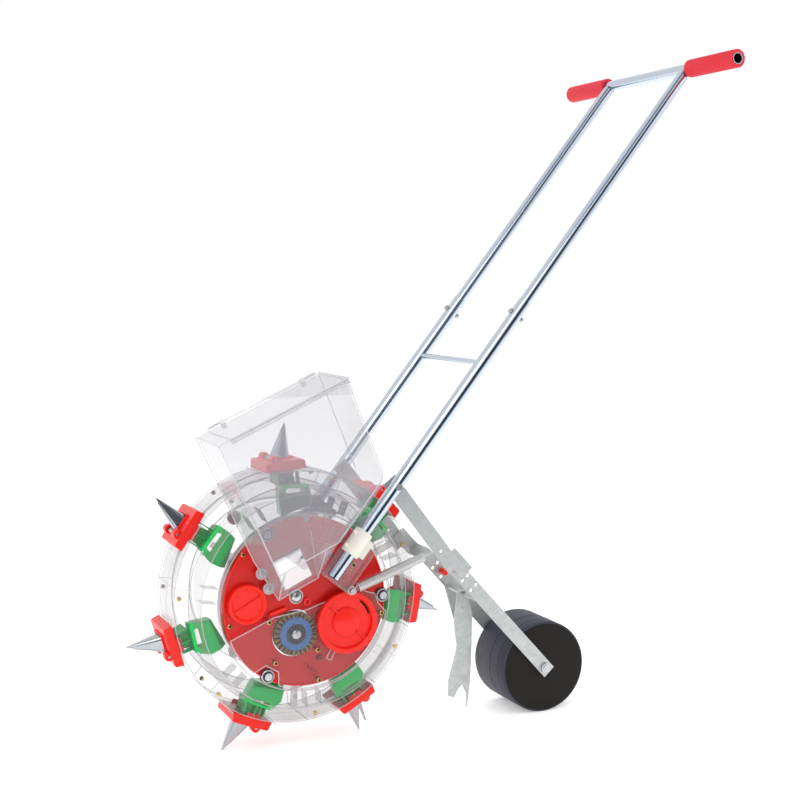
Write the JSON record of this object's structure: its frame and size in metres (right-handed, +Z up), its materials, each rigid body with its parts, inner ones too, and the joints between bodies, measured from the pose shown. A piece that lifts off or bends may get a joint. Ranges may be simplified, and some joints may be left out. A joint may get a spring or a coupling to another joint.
{
  "type": "push seeder",
  "caption": "Hand pushed rotary seeder: a clear drum of opening beaks fed from a hopper, with a sprung press roller and a tubular handle.",
  "frame": {"origin": "on the ground under the middle of the machine's bounding box", "axes": "+Z up, the machine rolls towards -X, axles along Y, hopper on the -Y side"},
  "size_m": [1.0036, 0.5286, 1.1465],
  "materials": {
    "clear_plastic": "clear moulded polycarbonate",
    "red_plastic": "moulded red ABS",
    "green_plastic": "moulded green ABS",
    "galvanised_steel": "galvanised sheet",
    "chrome_tube": "bright plated tube",
    "bearing_steel": "zinc plated",
    "black_roller": "moulded black plastic",
    "red_foam": "foam sleeve",
    "cream_plastic": "moulded nylon",
    "bristles": "stiff bristles",
    "blue_plastic": "moulded",
    "yellow_zinc": "yellow zinc plated",
    "grey_plastic": "moulded",
    "spring_steel": "drawn spring wire"
  },
  "bodies": {
    "frame": {"bearing_bolts": "bearing_steel", "chamber_cover": "clear_plastic", "cover_spacers": "clear_plastic", "cross_rod": "chrome_tube", "drive_shafts": "bearing_steel", "far_plate": "clear_plastic", "grip_far": "red_foam", "grip_near": "red_foam", "handle_bar": "chrome_tube", "hinge_pin": "clear_plastic", "hopper": "clear_plastic", "housing": "red_plastic", "housing_screws": "yellow_zinc", "lower_tube_far": "chrome_tube", "lower_tube_near": "chrome_tube", "pivot_bolts": "bearing_steel", "press_spring": "spring_steel", "saddle_clamp_far": "cream_plastic", "saddle_clamp_near": "cream_plastic", "spring_screw": "bearing_steel", "tie_rods": "bearing_steel", "tube_bolts": "bearing_steel", "tube_bracket_far": "clear_plastic", "tube_bracket_near": "clear_plastic", "upper_tube_far": "chrome_tube", "upper_tube_near": "chrome_tube"},
    "drum": {"drum_shell_near": "clear_plastic", "drum_shell_far": "clear_plastic", "beak_holders": "red_plastic", "fixed_jaws": "galvanised_steel", "seed_scoops": "green_plastic", "rim_screws": "yellow_zinc", "ring_gear": "clear_plastic"},
    "seed_roller": {"seed_roller": "grey_plastic"},
    "brush": {"brush_wheel": "bristles", "brush_hub": "blue_plastic", "brush_gear": "grey_plastic"},
    "press_arm": {"arm_plate_near": "galvanised_steel", "arm_plate_far": "galvanised_steel", "fork_bar_near": "galvanised_steel", "fork_bar_far": "galvanised_steel", "press_axle": "bearing_steel", "fork_tie": "bearing_steel", "covering_blade": "galvanised_steel", "arm_gusset": "galvanised_steel", "stud_cap": "red_plastic"},
    "press_roller": {"press_roller": "black_roller"},
    "hopper_lid": {"hopper_lid": "clear_plastic"},
    "big_cap": {"big_cap": "red_plastic"},
    "small_cap": {"small_cap": "red_plastic"},
    "guide_1": {"guide_bearing_1": "bearing_steel"},
    "guide_2": {"guide_bearing_2": "bearing_steel"},
    "guide_3": {"guide_bearing_3": "bearing_steel"},
    "flap_1": {"beak_flap_1": "galvanised_steel"},
    "flap_2": {"beak_flap_2": "galvanised_steel"},
    "flap_3": {"beak_flap_3": "galvanised_steel"},
    "flap_4": {"beak_flap_4": "galvanised_steel"},
    "flap_5": {"beak_flap_5": "galvanised_steel"},
    "flap_6": {"beak_flap_6": "galvanised_steel"},
    "flap_7": {"beak_flap_7": "galvanised_steel"}
  },
  "joints": [
    {"name": "drum_spin", "type": "hinge", "parent": "frame", "child": "drum", "pos_m": [-0.22494, 0, 0.25588], "axis": [0, 1, 0], "continuous": true},
    {"name": "seed_roller_spin", "type": "hinge", "parent": "frame", "child": "seed_roller", "pos_m": [-0.15926, 0, 0.21765], "axis": [0, 1, 0], "continuous": true},
    {"name": "brush_spin", "type": "hinge", "parent": "frame", "child": "brush", "pos_m": [-0.24442, 0, 0.20568], "axis": [0, 1, 0], "continuous": true},
    {"name": "guide_1_spin", "type": "hinge", "parent": "frame", "child": "guide_1", "pos_m": [-0.09146, 0, 0.25355], "axis": [0, 1, 0], "continuous": true},
    {"name": "guide_2_spin", "type": "hinge", "parent": "frame", "child": "guide_2", "pos_m": [-0.28967, 0, 0.37264], "axis": [0, 1, 0], "continuous": true},
    {"name": "guide_3_spin", "type": "hinge", "parent": "frame", "child": "guide_3", "pos_m": [-0.2937, 0, 0.14144], "axis": [0, 1, 0], "continuous": true},
    {"name": "flap_1_hinge", "type": "hinge", "parent": "drum", "child": "flap_1", "pos_m": [-0.25373, 0, 0.48244], "axis": [0, -1, 0], "range_deg": [0, 18], "stiffness_Nm_per_rad": 0.08, "springref_deg": -22.92},
    {"name": "flap_2_hinge", "type": "hinge", "parent": "drum", "child": "flap_2", "pos_m": [-0.42003, 0, 0.37463], "axis": [0, -1, 0], "range_deg": [0, 18], "stiffness_Nm_per_rad": 0.08, "springref_deg": -22.92},
    {"name": "flap_3_hinge", "type": "hinge", "parent": "drum", "child": "flap_3", "pos_m": [-0.43942, 0, 0.1774], "axis": [0, -1, 0], "range_deg": [0, 18], "stiffness_Nm_per_rad": 0.08, "springref_deg": -22.92},
    {"name": "flap_4_hinge", "type": "hinge", "parent": "drum", "child": "flap_4", "pos_m": [-0.29731, 0, 0.03926], "axis": [0, -1, 0], "range_deg": [0, 18], "stiffness_Nm_per_rad": 0.08, "springref_deg": -22.92},
    {"name": "flap_5_hinge", "type": "hinge", "parent": "drum", "child": "flap_5", "pos_m": [-0.10071, 0, 0.06424], "axis": [0, -1, 0], "range_deg": [-14, 4], "stiffness_Nm_per_rad": 0.08, "springref_deg": -36.9},
    {"name": "flap_6_hinge", "type": "hinge", "parent": "drum", "child": "flap_6", "pos_m": [0.00235, 0, 0.23352], "axis": [0, -1, 0], "range_deg": [0, 18], "stiffness_Nm_per_rad": 0.08, "springref_deg": -22.92},
    {"name": "flap_7_hinge", "type": "hinge", "parent": "drum", "child": "flap_7", "pos_m": [-0.06575, 0, 0.41964], "axis": [0, -1, 0], "range_deg": [0, 18], "stiffness_Nm_per_rad": 0.08, "springref_deg": -22.92},
    {"name": "press_arm_swing", "type": "hinge", "parent": "frame", "child": "press_arm", "pos_m": [-0.07808, 0, 0.43896], "axis": [0, -1, 0], "range_deg": [-4, 12], "stiffness_Nm_per_rad": 60, "springref_deg": -6.88, "deforming": ["press_spring"]},
    {"name": "press_roller_spin", "type": "hinge", "parent": "press_arm", "child": "press_roller", "pos_m": [0.23336, 0, 0.0815], "axis": [0, 1, 0], "continuous": true},
    {"name": "lid_hinge", "type": "hinge", "parent": "frame", "child": "hopper_lid", "pos_m": [-0.30467, -0.0923, 0.58258], "axis": [-0.915, 0, -0.4035], "range_deg": [0, 110]},
    {"name": "big_cap_twist", "type": "hinge", "parent": "frame", "child": "big_cap", "pos_m": [-0.15926, -0.1, 0.21765], "axis": [0, 1, 0], "range_deg": [0, 60]},
    {"name": "small_cap_twist", "type": "hinge", "parent": "frame", "child": "small_cap", "pos_m": [-0.32634, -0.092, 0.26358], "axis": [0, 1, 0], "range_deg": [0, 45]}
  ],
  "couplings": [
    {"joint": "seed_roller_spin", "follows": "drum_spin", "ratio": 2.3333},
    {"joint": "brush_spin", "follows": "drum_spin", "ratio": -4.5862},
    {"joint": "guide_1_spin", "follows": "drum_spin", "ratio": 13.164},
    {"joint": "guide_2_spin", "follows": "drum_spin", "ratio": 13.164},
    {"joint": "guide_3_spin", "follows": "drum_spin", "ratio": 13.164}
  ]
}
